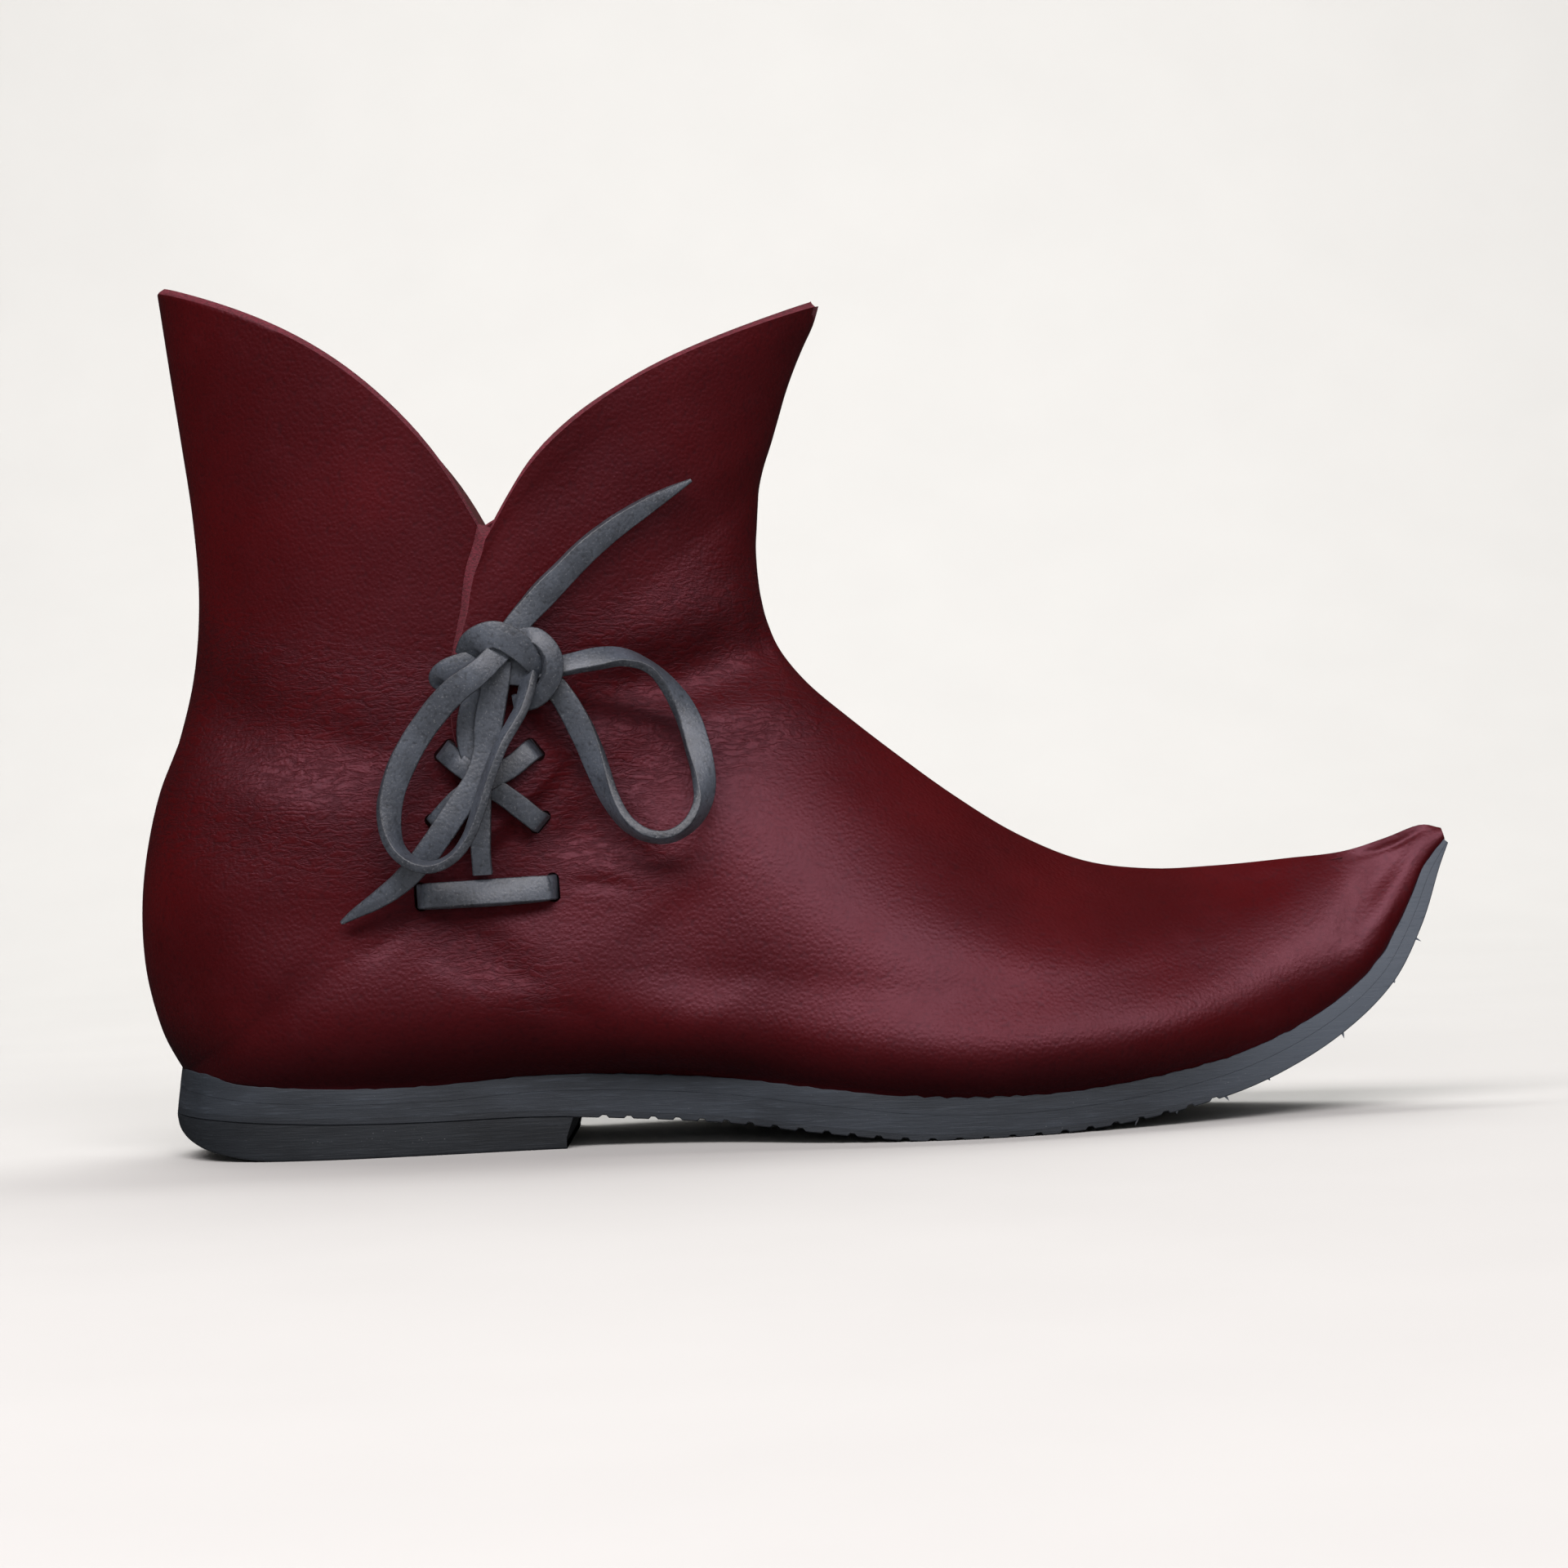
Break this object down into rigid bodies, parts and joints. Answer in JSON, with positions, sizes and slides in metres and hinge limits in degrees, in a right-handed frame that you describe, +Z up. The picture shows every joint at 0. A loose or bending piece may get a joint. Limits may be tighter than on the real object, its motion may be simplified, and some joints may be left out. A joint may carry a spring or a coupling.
{
  "type": "poulaine pointed shoe",
  "caption": "Leather ankle shoe with a long upturned pointed toe, a V-cut collar, side lacing tied in a bow, and a low heel.",
  "frame": {"origin": "on the floor under the centre of the shoe's bounding box, the free lace left out", "axes": "+X to the toe tip, +Z up, the lacing faces -Y"},
  "size_m": [0.3106, 0.0976, 0.2063],
  "materials": {
    "upper_leather": "satin",
    "insole_leather": "matte",
    "sole_rubber": "matte",
    "heel_rubber": "matte",
    "lace_leather": "matte"
  },
  "bodies": {
    "root": {"upper": "upper_leather", "insole": "insole_leather", "midsole": "sole_rubber", "outsole": "sole_rubber", "heel": "heel_rubber", "lace_bar": "lace_leather", "lace_cross": "lace_leather", "lace_knot": "lace_leather", "lace_loop_back": "lace_leather", "lace_loop_front": "lace_leather", "lace_end_upper": "lace_leather", "lace_end_lower": "lace_leather"}
  },
  "joints": []
}
